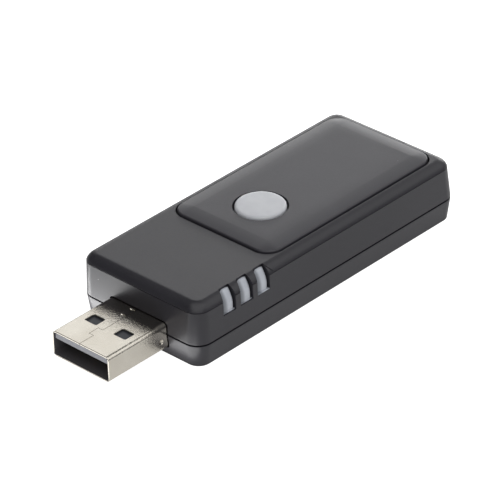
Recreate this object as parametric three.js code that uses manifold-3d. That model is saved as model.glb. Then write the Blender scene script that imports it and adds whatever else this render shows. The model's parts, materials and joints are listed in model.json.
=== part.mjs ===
// A pocket programmer for microcontrollers: a plastic stick in two shells with a USB A plug at one end,
// a target header at the other, a round push button in a raised cover panel and three light windows in
// its right side. Millimetres, +Z up, +Y away from the plug. The origin is on the underside, below the
// middle of the whole length.

import * as THREE from 'three';
import { mergeVertices } from 'three/addons/utils/BufferGeometryUtils.js';
import Module from 'manifold-3d';

const wasm = await Module();
wasm.setup();

// Whole object
const LENGTH = 72.2;
const PLUG_REACH = 12.45;
const HALF_WIDTH = 12.65;
const TIP = -LENGTH / 2;
const FRONT = TIP + PLUG_REACH;
const REAR = LENGTH / 2;

// Shells
const PARTING_Z = 4.08;
const SEAM_GAP = 0.3;
const FRONT_CORNER = 2.65;
const REAR_CORNER = 2.5;
const LEAST_CORNER = 0.3;
const BASE_DRAFT = 0.5;
const BASE_EDGE = 0.15;
const WALL_DRAFT = 0.15;
const REAR_DRAW = 0.6;
const WALL_TOP_Z = 9.73;
const TOP_Z = 11.03;
const TOP_INSET = 1.74;
const BEVEL_HALF_TURN = THREE.MathUtils.degToRad(27);
const WALL = 1.6;
const FLOOR = 1.2;
const CEILING_Z = 9.0;

// Overlap joint between the shells: a lip on the lower one stands inside a rabbet in the upper one.
const LIP_OUTER = 1.2;
const LIP_INNER = 1.9;
const LIP_TOP_Z = 5.0;
const RABBET_DEPTH = 0.9;
const RABBET_TOP_Z = 5.3;
const CATCH_Y = [-4, 22];
const CATCH_LENGTH = 5;
const CATCH_REACH = 0.4;
const CATCH_ROOM = 0.15;
const CATCH_Z = [4.45, 4.8];

// Cover panel and its pocket
const PANEL_HALF_WIDTH = 10.46;
const PANEL_FRONT = -5.6;
const PANEL_REAR = 33.3;
const PANEL_CORNER = 2.8;
const PANEL_TOP_Z = 11.73;
const PANEL_SIDE_Z = 11.08;
const PANEL_EDGE = 0.3;
const PANEL_BASE_Z = 10.18;
const PANEL_CROWN_RUN = 3.5;
const PANEL_HALF_TURN = THREE.MathUtils.degToRad(5.5);
const PANEL_GAP = 0.3;
const POCKET_FLOOR_Z = 10.13;
const PEG_X = 8.4;
const PEG_Y = [-2.6, 26.6];
const PEG_RADIUS = 0.9;
const PEG_HOLE_RADIUS = 1.2;
const PEG_END_Z = 8.7;

// Button and the switch under it
const BUTTON_Y = 3.9;
const BUTTON_RADIUS = 4.1;
const BUTTON_HOLE_RADIUS = 4.45;
const BUTTON_FLANGE_RADIUS = 5.3;
const BUTTON_TOP_Z = 12.12;
const BUTTON_SIDE_Z = 11.55;
const BUTTON_FILLET = 0.5;
const FLANGE_TOP_Z = 9.85;
const FLANGE_BASE_Z = 9.2;
const BUTTON_POST_RADIUS = 1.6;
const FLANGE_HOLE_RADIUS = 5.6;
const SWITCH_SIZE = 6.0;
const SWITCH_HEIGHT = 3.3;
const SWITCH_PLATE = 0.2;
const SWITCH_EAR = 3.0;
const PLUNGER_TOP_Z = 8.3;
const PLUNGER_RADIUS = 1.75;
const PLUNGER_FOOT_RADIUS = 2.2;
const TRAVEL = 0.3;

// Light windows
const WINDOW_Y = [-16.25, -12.45, -8.72];
const WINDOW_WIDTH = 2.05;
const WINDOW_INNER_X = 10.95;
const WINDOW_SILL_Z = 7.33;
const GUIDE_WIDTH = 1.75;
const GUIDE_STEM_X = [8.9, 10.5];
const GUIDE_FOOT_Z = 5.1;
const GUIDE_ARM_Z = [7.55, 8.75];
const GUIDE_FACE_X = 12.1;
const GUIDE_CREST = [11.25, 10.7];
const LIGHT_X = 9.5;

// Circuit board
const BOARD_HALF_WIDTH = 10.4;
const BOARD_FRONT = -21.7;
const BOARD_REAR = 33.9;
const BOARD_TOP_Z = 4.0;
const BOARD_THICKNESS = 1.0;
const NOTCH_HALF_WIDTH = 6.2;
const NOTCH_END = -16.6;
const SOLDER = 0.05;
const ON_BOARD = BOARD_TOP_Z + SOLDER;
const BOSS_X = 8.6;
const BOSS_Y = [-20.0, 30.6];
const BOSS_RADIUS = 1.55;
const BOSS_BORE = 1.05;
const PIN_RADIUS = 0.8;
const PIN_TOP_Z = 5.6;
const BOARD_HOLE_RADIUS = 1.05;

// USB A plug
const PLUG_HALF_WIDTH = 6.0;
const PLUG_HEIGHT = 4.5;
const PLUG_CENTRE_Z = 3.66;
const PLUG_SHEET = 0.3;
const PLUG_CORNER = 0.75;
const PLUG_END = -16.9;
const PLUG_TAB = 1.4;
const PLUG_LATCH_X = 3.07;
const PLUG_LATCH_Y = [-30.85, -28.82];
const PLUG_LATCH_WIDTH = 2.45;
const PLUG_CLEARANCE = 0.22;
const TONGUE_BASE_Z = 4.3;
const TONGUE_TOP_Z = 5.5;
const TONGUE_TIP = TIP + 0.3;
const PLUG_BLOCK_FRONT = TIP + 11.9;
const CONTACT_X = { vbus: 3.5, d_minus: 1.0, d_plus: -1.0, gnd: -3.5 };
const CONTACT_WIDTH = 1.0;
const CONTACT_THICKNESS = 0.18;
const CONTACT_TAIL = -14.4;
const POWER_CONTACT_TIP = TIP + 1.4;
const DATA_CONTACT_TIP = TIP + 2.4;

// Target header, two rows of five pins at 1.27 mm
const HEADER_HALF_WIDTH = 6.35;
const HEADER_HEIGHT = 4.6;
const HEADER_REAR = REAR - 0.3;
const HEADER_DEPTH = 6.9;
const HEADER_SIDE_WALL = 0.8;
const HEADER_LEVEL_WALL = 0.75;
const HEADER_BACK_WALL = 2.0;
const HEADER_CLEARANCE = 0.3;
const HEADER_KEYWAY = 1.8;
const HEADER_PITCH = 1.27;
const HEADER_COLUMNS = 5;
const HEADER_PIN = 0.4;
const HEADER_PIN_TIP = HEADER_REAR - 1.2;

const FINE = 0.05;
const BEYOND = 2;

const finishes = {
  housing: { color: 0x3a3a3c, roughness: 0.5, metalness: 0 },
  panel: { color: 0x434345, roughness: 0.45, metalness: 0 },
  milky: { color: 0xc4c5c9, roughness: 0.4, metalness: 0 },
  nickel: { color: 0xd8d3c8, roughness: 0.25, metalness: 1 },
  insulator: { color: 0x2b2b2e, roughness: 0.5, metalness: 0 },
  gold: { color: 0xd9b25a, roughness: 0.3, metalness: 1 },
  tin: { color: 0xb9bbbd, roughness: 0.35, metalness: 1 },
  board: { color: 0x1f5a38, roughness: 0.5, metalness: 0 },
  epoxy: { color: 0x1b1c1e, roughness: 0.6, metalness: 0 },
  ceramic: { color: 0xb39a74, roughness: 0.55, metalness: 0 },
  lens: { color: 0xe8e6c8, roughness: 0.3, metalness: 0 },
};

// Solids

// A closed three.js geometry as a solid that can be joined and cut.
function solid(geometry) {
  const plain = geometry.clone();
  plain.deleteAttribute('normal');
  plain.deleteAttribute('uv');
  const merged = mergeVertices(plain, 1e-5);
  const corners = Array.from(merged.index.array);
  const triVerts = [];
  for (let i = 0; i < corners.length; i += 3) {
    const [a, b, c] = corners.slice(i, i + 3);
    if (a !== b && b !== c && c !== a) triVerts.push(a, b, c);
  }
  const mesh = new wasm.Mesh({
    numProp: 3,
    vertProperties: new Float32Array(merged.attributes.position.array),
    triVerts: new Uint32Array(triVerts),
  });
  return new wasm.Manifold(mesh);
}

function joined(pieces) {
  return pieces.reduce((whole, piece) => whole.add(piece));
}

function cut(whole, tools) {
  return tools.reduce((rest, tool) => rest.subtract(tool), whole);
}

function block([x0, x1], [y0, y1], [z0, z1]) {
  const geometry = new THREE.BoxGeometry(x1 - x0, y1 - y0, z1 - z0);
  geometry.translate((x0 + x1) / 2, (y0 + y1) / 2, (z0 + z1) / 2);
  return solid(geometry);
}

function post(x, y, [z0, z1], radius, segments = 16) {
  const geometry = new THREE.CylinderGeometry(radius, radius, z1 - z0, segments);
  geometry.rotateX(Math.PI / 2);
  geometry.translate(x, y, (z0 + z1) / 2);
  return solid(geometry);
}

// A turned solid on a vertical axis. The profile is [radius, height] pairs from the lower pole upwards.
function turned(x, y, profile, segments = 36) {
  const points = profile.map(([radius, z]) => new THREE.Vector2(radius, z));
  const geometry = new THREE.LatheGeometry(points, segments);
  geometry.rotateX(Math.PI / 2);
  geometry.translate(x, y, 0);
  return solid(geometry);
}

function roundedRectangle([x0, x1], [y0, y1], lowRadius, highRadius = lowRadius) {
  const quarter = Math.PI / 2;
  const shape = new THREE.Shape();
  shape.absarc(x1 - lowRadius, y0 + lowRadius, lowRadius, -quarter, 0);
  shape.absarc(x1 - highRadius, y1 - highRadius, highRadius, 0, quarter);
  shape.absarc(x0 + highRadius, y1 - highRadius, highRadius, quarter, 2 * quarter);
  shape.absarc(x0 + lowRadius, y0 + lowRadius, lowRadius, 2 * quarter, 3 * quarter);
  return shape;
}

// A slab with a rounded outline that is drawn in by its own amount at each height, from low to high. Its
// rear end can be drawn in further than the rest.
function slab(outline, levels, curveSegments = 3) {
  const { halfWidth, front, rear, frontCorner, rearCorner } = outline;
  const shape = roundedRectangle([-halfWidth, halfWidth], [front, rear], frontCorner, rearCorner);
  const steps = levels.length - 1;
  const settings = { depth: 1, steps, curveSegments, bevelEnabled: false };
  const geometry = new THREE.ExtrudeGeometry(shape, settings);
  const position = geometry.attributes.position;
  for (let i = 0; i < position.count; i += 1) {
    const x = position.getX(i);
    const y = position.getY(i);
    const { inset, z, rearDraw = 0 } = levels[Math.round(position.getZ(i) * steps)];
    const side = Math.sign(x);
    const atFront = y < (front + rear) / 2;
    const corner = atFront ? frontCorner : rearCorner;
    const small = Math.max(corner - inset, LEAST_CORNER);
    const outX = (x - side * (halfWidth - corner)) / corner;
    const outY = (y - (atFront ? front + corner : rear - corner)) / corner;
    const centreY = atFront ? front + inset + small : rear - rearDraw - inset - small;
    position.setXYZ(i, side * (halfWidth - inset - small) + outX * small, centreY + outY * small, z);
  }
  return solid(geometry);
}

// A shape drawn in X and Z, extruded along Y.
function alongY(shape, [y0, y1], curveSegments = 3) {
  const settings = { depth: y1 - y0, curveSegments, bevelEnabled: false };
  const geometry = new THREE.ExtrudeGeometry(shape, settings);
  geometry.rotateX(Math.PI / 2);
  geometry.translate(0, y1, 0);
  return solid(geometry);
}

// A shape drawn in Y and Z, extruded along X.
function alongX(shape, [x0, x1]) {
  const geometry = new THREE.ExtrudeGeometry(shape, { depth: x1 - x0, bevelEnabled: false });
  const basis = new THREE.Matrix4();
  basis.makeBasis(new THREE.Vector3(0, 1, 0), new THREE.Vector3(0, 0, 1), new THREE.Vector3(1, 0, 0));
  geometry.applyMatrix4(basis);
  geometry.translate(x0, 0, 0);
  return solid(geometry);
}

// The stretch from near to far on the left (-1) or right (1) of the middle plane.
function onSide(side, near, far) {
  return side > 0 ? [near, far] : [-far, -near];
}

function polygon(points) {
  return new THREE.Shape(points.map(([a, b]) => new THREE.Vector2(a, b)));
}

const programmer = new THREE.Group();

function addPart(name, body, finish) {
  const { vertProperties, triVerts } = body.getMesh();
  const geometry = new THREE.BufferGeometry();
  geometry.setAttribute('position', new THREE.BufferAttribute(new Float32Array(vertProperties), 3));
  geometry.setIndex(new THREE.BufferAttribute(new Uint32Array(triVerts), 1));
  geometry.computeVertexNormals();
  const mesh = new THREE.Mesh(geometry, new THREE.MeshStandardMaterial(finishes[finish]));
  mesh.name = name;
  programmer.add(mesh);
}

// Housing

const footprint = {
  halfWidth: HALF_WIDTH,
  front: FRONT,
  rear: REAR,
  frontCorner: FRONT_CORNER,
  rearCorner: REAR_CORNER,
};

function straightLevels(inset, [z0, z1]) {
  return [{ inset, z: z0 }, { inset, z: z1 }];
}

// Levels along an arc that leaves the low one steeply and flattens out towards the high one. Its slope
// turns by twice halfTurn on the way.
function arcLevels(low, high, halfTurn, count) {
  const run = high.inset - low.inset;
  const rise = high.z - low.z;
  const radius = Math.hypot(run, rise) / (2 * Math.sin(halfTurn));
  const steep = Math.atan2(rise, run) + halfTurn;
  const levels = [];
  for (let i = 0; i <= count; i += 1) {
    const slope = steep - (2 * halfTurn * i) / count;
    const inset = low.inset + radius * (Math.sin(steep) - Math.sin(slope));
    levels.push({ inset, z: low.z + radius * (Math.cos(slope) - Math.cos(steep)) });
  }
  return levels;
}

function plugOpening() {
  const halfWidth = PLUG_HALF_WIDTH + PLUG_CLEARANCE;
  const halfHeight = PLUG_HEIGHT / 2 + PLUG_CLEARANCE;
  const levels = [PLUG_CENTRE_Z - halfHeight, PLUG_CENTRE_Z + halfHeight];
  const shape = roundedRectangle([-halfWidth, halfWidth], levels, PLUG_CORNER);
  return alongY(shape, [FRONT - BEYOND, FRONT + LIP_INNER + BEYOND / 2]);
}

function headerOpening() {
  const halfWidth = HEADER_HALF_WIDTH + HEADER_CLEARANCE;
  const top = ON_BOARD + HEADER_HEIGHT + HEADER_CLEARANCE;
  const y = [REAR - LIP_INNER - FINE, REAR + BEYOND];
  return block([-halfWidth, halfWidth], y, [ON_BOARD - HEADER_CLEARANCE, top]);
}

function onEachCorner(xs, ys, make) {
  return [-xs, xs].flatMap((x) => ys.map((y) => make(x, y)));
}

function upperHousing() {
  const rimZ = PARTING_Z + SEAM_GAP / 2;
  const wallTop = { inset: WALL_DRAFT, z: WALL_TOP_Z };
  const bevel = arcLevels(wallTop, { inset: TOP_INSET, z: TOP_Z }, BEVEL_HALF_TURN, 5);
  const drawn = bevel.map((level) => ({ ...level, rearDraw: REAR_DRAW }));
  const shell = slab(footprint, [{ inset: 0, z: rimZ }, ...drawn]);
  const cavity = slab(footprint, straightLevels(WALL, [rimZ - BEYOND, CEILING_Z]), 2);
  const rabbet = slab(footprint, straightLevels(RABBET_DEPTH, [rimZ - BEYOND, RABBET_TOP_Z]), 2);
  const panelSeat = {
    halfWidth: PANEL_HALF_WIDTH + PANEL_GAP,
    front: PANEL_FRONT - PANEL_GAP,
    rear: PANEL_REAR + PANEL_GAP,
    frontCorner: PANEL_CORNER + PANEL_GAP,
    rearCorner: PANEL_CORNER + PANEL_GAP,
  };
  const pocket = slab(panelSeat, straightLevels(0, [POCKET_FLOOR_Z, TOP_Z + BEYOND]), 5);
  const throughTop = [CEILING_Z - BEYOND / 2, POCKET_FLOOR_Z + BEYOND / 2];
  const flangeHole = post(0, BUTTON_Y, throughTop, FLANGE_HOLE_RADIUS, 36);
  const pegHoles = onEachCorner(PEG_X, PEG_Y, (x, y) => post(x, y, throughTop, PEG_HOLE_RADIUS));
  const windows = WINDOW_Y.map((y) => block(
    [WINDOW_INNER_X, HALF_WIDTH + BEYOND],
    [y - WINDOW_WIDTH / 2, y + WINDOW_WIDTH / 2],
    [WINDOW_SILL_Z, TOP_Z + BEYOND],
  ));
  const catchRecesses = [-1, 1].flatMap((side) => CATCH_Y.map((y) => catchBlock(side, y, CATCH_ROOM)));
  const hollowed = cut(shell, [cavity, rabbet, pocket]);
  const bossZ = [ON_BOARD + FINE, CEILING_Z + FINE];
  const boreZ = [ON_BOARD - BEYOND, PIN_TOP_Z + 0.3];
  const bosses = onEachCorner(BOSS_X, BOSS_Y, (x, y) => post(x, y, bossZ, BOSS_RADIUS));
  const bores = onEachCorner(BOSS_X, BOSS_Y, (x, y) => post(x, y, boreZ, BOSS_BORE));
  const ends = [plugOpening(), headerOpening()];
  const openings = [...bores, flangeHole, ...pegHoles, ...windows, ...catchRecesses, ...ends];
  return cut(joined([hollowed, ...bosses]), openings);
}

// A snap catch on the lip's outer face, or with some room round it the recess that it clicks into.
function catchBlock(side, y, room = 0) {
  const lipFace = HALF_WIDTH - LIP_OUTER;
  const half = CATCH_LENGTH / 2 + room;
  const xs = onSide(side, lipFace - CATCH_REACH / 2, lipFace + CATCH_REACH + room);
  return block(xs, [y - half, y + half], [CATCH_Z[0] - room, CATCH_Z[1] + room]);
}

function lowerHousing() {
  const rimZ = PARTING_Z - SEAM_GAP / 2;
  const edge = [0, 0.35, 1].map((share) => ({
    inset: BASE_DRAFT + BASE_EDGE * (1 - Math.sin((share * Math.PI) / 2)),
    z: BASE_EDGE * (1 - Math.cos((share * Math.PI) / 2)),
  }));
  const shell = slab(footprint, [...edge, { inset: 0, z: rimZ }]);
  const lip = slab(footprint, straightLevels(LIP_OUTER, [PARTING_Z / 2, LIP_TOP_Z]), 2);
  const cavity = slab(footprint, straightLevels(LIP_INNER, [FLOOR, LIP_TOP_Z + BEYOND]), 2);
  const catches = [-1, 1].flatMap((side) => CATCH_Y.map((y) => catchBlock(side, y)));
  const seatZ = BOARD_TOP_Z - BOARD_THICKNESS - FINE;
  const posts = onEachCorner(BOSS_X, BOSS_Y, (x, y) => post(x, y, [FLOOR - FINE, seatZ], BOSS_RADIUS));
  const pins = onEachCorner(BOSS_X, BOSS_Y, (x, y) => post(x, y, [seatZ - FINE, PIN_TOP_Z], PIN_RADIUS));
  const tray = cut(joined([shell, lip]), [cavity]);
  return cut(joined([tray, ...catches, ...posts, ...pins]), [plugOpening(), headerOpening()]);
}

function coverPanel() {
  const outline = {
    halfWidth: PANEL_HALF_WIDTH,
    front: PANEL_FRONT,
    rear: PANEL_REAR,
    frontCorner: PANEL_CORNER,
    rearCorner: PANEL_CORNER,
  };
  const edge = [0, 30, 60].map((turn) => ({
    inset: PANEL_EDGE * (1 - Math.cos(THREE.MathUtils.degToRad(turn))),
    z: PANEL_SIDE_Z + PANEL_EDGE * Math.sin(THREE.MathUtils.degToRad(turn)),
  }));
  const brow = { inset: PANEL_EDGE, z: PANEL_SIDE_Z + PANEL_EDGE };
  const flat = { inset: PANEL_CROWN_RUN, z: PANEL_TOP_Z };
  const crown = arcLevels(brow, flat, PANEL_HALF_TURN, 4);
  const plate = slab(outline, [{ inset: 0, z: PANEL_BASE_Z }, ...edge, ...crown], 5);
  const pegZ = [PEG_END_Z, PANEL_BASE_Z + FINE];
  const pegs = onEachCorner(PEG_X, PEG_Y, (x, y) => post(x, y, pegZ, PEG_RADIUS));
  const hole = post(0, BUTTON_Y, [PANEL_BASE_Z - BEYOND, PANEL_TOP_Z + BEYOND], BUTTON_HOLE_RADIUS, 36);
  return cut(joined([plate, ...pegs]), [hole]);
}

addPart('upper_housing', upperHousing(), 'housing');
addPart('lower_housing', lowerHousing(), 'housing');
addPart('cover_panel', coverPanel(), 'panel');

// Button and switch

function buttonCap() {
  const rim = [0, 30, 60, 80].map((turn) => [
    BUTTON_RADIUS - BUTTON_FILLET * (1 - Math.cos(THREE.MathUtils.degToRad(turn))),
    BUTTON_SIDE_Z + BUTTON_FILLET * Math.sin(THREE.MathUtils.degToRad(turn)),
  ]);
  return turned(0, BUTTON_Y, [
    [0, PLUNGER_TOP_Z + FINE],
    [BUTTON_POST_RADIUS, PLUNGER_TOP_Z + FINE],
    [BUTTON_POST_RADIUS, FLANGE_BASE_Z],
    [BUTTON_FLANGE_RADIUS, FLANGE_BASE_Z],
    [BUTTON_FLANGE_RADIUS, FLANGE_TOP_Z],
    [BUTTON_RADIUS, FLANGE_TOP_Z],
    ...rim,
    [BUTTON_RADIUS * 0.6, BUTTON_TOP_Z - 0.03],
    [BUTTON_RADIUS * 0.3, BUTTON_TOP_Z - 0.01],
    [0, BUTTON_TOP_Z],
  ]);
}

const switchHalf = SWITCH_SIZE / 2;
const switchX = [-switchHalf, switchHalf];
const switchY = [BUTTON_Y - switchHalf, BUTTON_Y + switchHalf];
const switchTopZ = ON_BOARD + SWITCH_HEIGHT;
const domeBaseZ = ON_BOARD + 0.9;
const domeTopZ = domeBaseZ + 0.7 + TRAVEL;
const plungerFootZ = domeTopZ + 0.1;

// The base is an open cup: the dome lies in it and the plunger's foot rides above the dome.
function switchBase() {
  const cup = block(switchX, switchY, [ON_BOARD, switchTopZ]);
  const well = post(0, BUTTON_Y, [domeBaseZ - FINE, switchTopZ + BEYOND], PLUNGER_FOOT_RADIUS + 0.4, 24);
  return cut(cup, [well]);
}

// The metal plate on top, with an ear folded down each side of the base.
function switchPlate() {
  const z = [switchTopZ + FINE, switchTopZ + FINE + SWITCH_PLATE];
  const earY = [BUTTON_Y - SWITCH_EAR / 2, BUTTON_Y + SWITCH_EAR / 2];
  const near = switchHalf + FINE;
  const ears = [-1, 1].flatMap((side) => [
    block(onSide(side, near - SWITCH_PLATE, near + SWITCH_PLATE), earY, z),
    block(onSide(side, near, near + SWITCH_PLATE), earY, [switchTopZ - SWITCH_EAR / 2, z[1]]),
  ]);
  const hole = post(0, BUTTON_Y, [switchTopZ - BEYOND, z[1] + BEYOND], PLUNGER_RADIUS + 0.12, 24);
  return cut(joined([block(switchX, switchY, z), ...ears]), [hole]);
}

function switchPlunger() {
  const shoulderZ = switchTopZ - FINE - 0.1;
  return turned(0, BUTTON_Y, [
    [0, plungerFootZ],
    [PLUNGER_FOOT_RADIUS, plungerFootZ],
    [PLUNGER_FOOT_RADIUS, shoulderZ],
    [PLUNGER_RADIUS, shoulderZ],
    [PLUNGER_RADIUS, PLUNGER_TOP_Z - 0.15],
    [PLUNGER_RADIUS - 0.15, PLUNGER_TOP_Z],
    [0, PLUNGER_TOP_Z],
  ], 20);
}

// A thin pressed disc, 0.1 mm thick, that bulges up to just under the plunger's foot.
function switchDome() {
  const radius = PLUNGER_FOOT_RADIUS + 0.1;
  const thickness = 0.1;
  const arch = [];
  for (let i = 0; i <= 4; i += 1) {
    const share = i / 4;
    arch.push([radius * share, domeBaseZ + (domeTopZ - thickness - domeBaseZ) * (1 - share * share)]);
  }
  const above = arch.map(([r, z]) => [r, z + thickness]).reverse();
  return turned(0, BUTTON_Y, [...arch, ...above], 20);
}

addPart('button_cap', buttonCap(), 'milky');
addPart('switch_base', switchBase(), 'epoxy');
addPart('switch_plate', switchPlate(), 'tin');
addPart('switch_plunger', switchPlunger(), 'epoxy');
addPart('switch_dome', switchDome(), 'tin');

// Lights

// Each prong stands over its light and turns out into the window, where its face curves like the
// housing's edge.
function guideProfile() {
  const [stemInner, stemOuter] = GUIDE_STEM_X;
  const [armLow, armHigh] = GUIDE_ARM_Z;
  const [crestX, crestZ] = GUIDE_CREST;
  const shape = new THREE.Shape();
  shape.moveTo(stemInner, GUIDE_FOOT_Z);
  shape.lineTo(stemOuter, GUIDE_FOOT_Z);
  shape.lineTo(stemOuter, armLow);
  shape.lineTo(GUIDE_FACE_X, armLow);
  shape.bezierCurveTo(GUIDE_FACE_X, armHigh, crestX + 0.65, crestZ - 0.4, crestX, crestZ);
  shape.lineTo(crestX, armHigh);
  shape.lineTo(stemInner, armHigh);
  shape.closePath();
  return shape;
}

function lightGuide() {
  const half = GUIDE_WIDTH / 2;
  const prongs = WINDOW_Y.map((y) => alongY(guideProfile(), [y - half, y + half], 6));
  const barX = [GUIDE_STEM_X[0] + FINE, GUIDE_STEM_X[1] - FINE];
  const bar = block(barX, [WINDOW_Y[0], WINDOW_Y[2]], [GUIDE_ARM_Z[0] + FINE, GUIDE_ARM_Z[1] - FINE]);
  return joined([...prongs, bar]);
}

// A small surface-mounted light: a base with a lens on it.
function light(x, y) {
  const base = block([x - 0.8, x + 0.8], [y - 0.4, y + 0.4], [ON_BOARD, ON_BOARD + 0.35]);
  const lens = block([x - 0.5, x + 0.5], [y - 0.35, y + 0.35], [ON_BOARD + 0.3, ON_BOARD + 0.75]);
  return joined([base, lens]);
}

addPart('light_guide', lightGuide(), 'milky');
const LIGHT_NAMES = ['led_power', 'led_busy', 'led_error'];
LIGHT_NAMES.forEach((name, i) => addPart(name, light(LIGHT_X, WINDOW_Y[i]), 'lens'));
addPart('led_button', light(-4.4, BUTTON_Y), 'lens');

// USB plug

const plugTopZ = PLUG_CENTRE_Z + PLUG_HEIGHT / 2;
const plugBaseZ = PLUG_CENTRE_Z - PLUG_HEIGHT / 2;

function plugShell() {
  const outerX = [-PLUG_HALF_WIDTH, PLUG_HALF_WIDTH];
  const innerX = [-PLUG_HALF_WIDTH + PLUG_SHEET, PLUG_HALF_WIDTH - PLUG_SHEET];
  const innerZ = [plugBaseZ + PLUG_SHEET, plugTopZ - PLUG_SHEET];
  const section = roundedRectangle(outerX, [plugBaseZ, plugTopZ], PLUG_CORNER);
  section.holes.push(roundedRectangle(innerX, innerZ, PLUG_CORNER - PLUG_SHEET));
  const tube = alongY(section, [TIP, PLUG_END]);
  const latches = [-PLUG_LATCH_X, PLUG_LATCH_X].map((x) => block(
    [x - PLUG_LATCH_WIDTH / 2, x + PLUG_LATCH_WIDTH / 2],
    PLUG_LATCH_Y,
    [plugBaseZ - BEYOND, plugTopZ + BEYOND],
  ));
  const tabs = [-1, 1].map((side) => block(
    onSide(side, PLUG_HALF_WIDTH - FINE, PLUG_HALF_WIDTH + PLUG_TAB),
    [PLUG_END - PLUG_TAB, PLUG_END - FINE],
    [ON_BOARD, ON_BOARD + PLUG_SHEET],
  ));
  return joined([cut(tube, latches), ...tabs]);
}

// The tongue lies under the shell's roof, with its contacts facing down, and a block behind it fills
// the shell.
function plugInsulator() {
  const chamfer = 0.3;
  const profile = polygon([
    [TONGUE_TIP, TONGUE_TOP_Z],
    [TONGUE_TIP, TONGUE_BASE_Z + chamfer / 2],
    [TONGUE_TIP + chamfer, TONGUE_BASE_Z],
    [PLUG_BLOCK_FRONT, TONGUE_BASE_Z],
    [PLUG_BLOCK_FRONT, plugBaseZ],
    [PLUG_END - 0.2, plugBaseZ],
    [PLUG_END - 0.2, TONGUE_TOP_Z],
  ]);
  const clear = PLUG_SHEET + 0.08;
  const insideX = [clear - PLUG_HALF_WIDTH, PLUG_HALF_WIDTH - clear];
  const inside = roundedRectangle(insideX, [plugBaseZ + clear, TONGUE_TOP_Z], PLUG_CORNER - PLUG_SHEET);
  const body = alongX(profile, insideX).intersect(alongY(inside, [TIP, PLUG_END]));
  const channels = Object.values(CONTACT_X).map((x) => block(
    [x - CONTACT_WIDTH / 2 - FINE, x + CONTACT_WIDTH / 2 + FINE],
    [PLUG_BLOCK_FRONT - BEYOND, PLUG_END + BEYOND],
    [ON_BOARD - FINE, TONGUE_BASE_Z],
  ));
  return cut(body, channels);
}

function plugContact(x, tip) {
  const half = CONTACT_WIDTH / 2;
  return block([x - half, x + half], [tip, CONTACT_TAIL], [ON_BOARD, ON_BOARD + CONTACT_THICKNESS]);
}

addPart('usb_plug_shell', plugShell(), 'nickel');
addPart('usb_plug_insulator', plugInsulator(), 'insulator');
Object.entries(CONTACT_X).forEach(([signal, x]) => {
  const tip = Math.abs(x) > 2 ? POWER_CONTACT_TIP : DATA_CONTACT_TIP;
  addPart(`usb_contact_${signal}`, plugContact(x, tip), 'gold');
});

// Target header

const headerZ = [ON_BOARD, ON_BOARD + HEADER_HEIGHT];
const headerMiddleZ = (headerZ[0] + headerZ[1]) / 2;
const headerBack = HEADER_REAR - HEADER_DEPTH;

function headerRows(make) {
  const made = [];
  [-0.5, 0.5].forEach((row) => {
    for (let column = 0; column < HEADER_COLUMNS; column += 1) {
      const x = (column - (HEADER_COLUMNS - 1) / 2) * HEADER_PITCH;
      made.push(make(x, headerMiddleZ + row * HEADER_PITCH, row > 0));
    }
  });
  return made;
}

function headerBody() {
  const outer = block([-HEADER_HALF_WIDTH, HEADER_HALF_WIDTH], [headerBack, HEADER_REAR], headerZ);
  const innerX = HEADER_HALF_WIDTH - HEADER_SIDE_WALL;
  const innerZ = [headerZ[0] + HEADER_LEVEL_WALL, headerZ[1] - HEADER_LEVEL_WALL];
  const mouthY = [headerBack + HEADER_BACK_WALL, HEADER_REAR + BEYOND];
  const mouth = block([-innerX, innerX], mouthY, innerZ);
  const keyway = block([-HEADER_KEYWAY / 2, HEADER_KEYWAY / 2], mouthY, [innerZ[1] - FINE, TOP_Z]);
  const hole = HEADER_PIN / 2 + FINE;
  const holes = headerRows((x, z) => block(
    [x - hole, x + hole],
    [headerBack - BEYOND, HEADER_REAR],
    [z - hole, z + hole],
  ));
  return cut(outer, [mouth, keyway, ...holes]);
}

// Each pin runs back through the body and bends down to the board. The upper row bends further back.
function headerPin(x, z, isUpper) {
  const half = HEADER_PIN / 2;
  const bend = headerBack - (isUpper ? 1.7 : 0.6);
  const profile = polygon([
    [HEADER_PIN_TIP, z - half],
    [HEADER_PIN_TIP, z + half],
    [bend - half, z + half],
    [bend - half, ON_BOARD],
    [bend + half, ON_BOARD],
    [bend + half, z - half],
  ]);
  return alongX(profile, [x - half, x + half]);
}

addPart('target_header_body', headerBody(), 'insulator');
headerRows(headerPin).forEach((pin, i) => addPart(`target_header_pin_${i + 1}`, pin, 'gold'));

// Circuit board and the parts soldered to it

function circuitBoard() {
  const z = [BOARD_TOP_Z - BOARD_THICKNESS, BOARD_TOP_Z];
  const outline = {
    halfWidth: BOARD_HALF_WIDTH,
    front: BOARD_FRONT,
    rear: BOARD_REAR,
    frontCorner: 1.2,
    rearCorner: 1.2,
  };
  const through = [z[0] - BEYOND, z[1] + BEYOND];
  const notch = block([-NOTCH_HALF_WIDTH, NOTCH_HALF_WIDTH], [BOARD_FRONT - BEYOND, NOTCH_END], through);
  const holes = onEachCorner(BOSS_X, BOSS_Y, (x, y) => post(x, y, through, BOARD_HOLE_RADIUS));
  return cut(slab(outline, straightLevels(0, z), 2), [notch, ...holes]);
}

// One gull-wing lead, from the side of a package down to its foot, before it is turned to its side.
function gullWing(reach, height, width) {
  const sheet = 0.15;
  const profile = polygon([
    [-0.2, height],
    [-0.2, height + sheet],
    [reach * 0.45, height + sheet],
    [reach * 0.6, sheet],
    [reach, sheet],
    [reach, 0],
    [reach * 0.45, 0],
    [reach * 0.3, height],
  ]);
  const geometry = new THREE.ExtrudeGeometry(profile, { depth: width, bevelEnabled: false });
  geometry.rotateX(Math.PI / 2);
  geometry.translate(0, width / 2, 0);
  return geometry;
}

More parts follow.
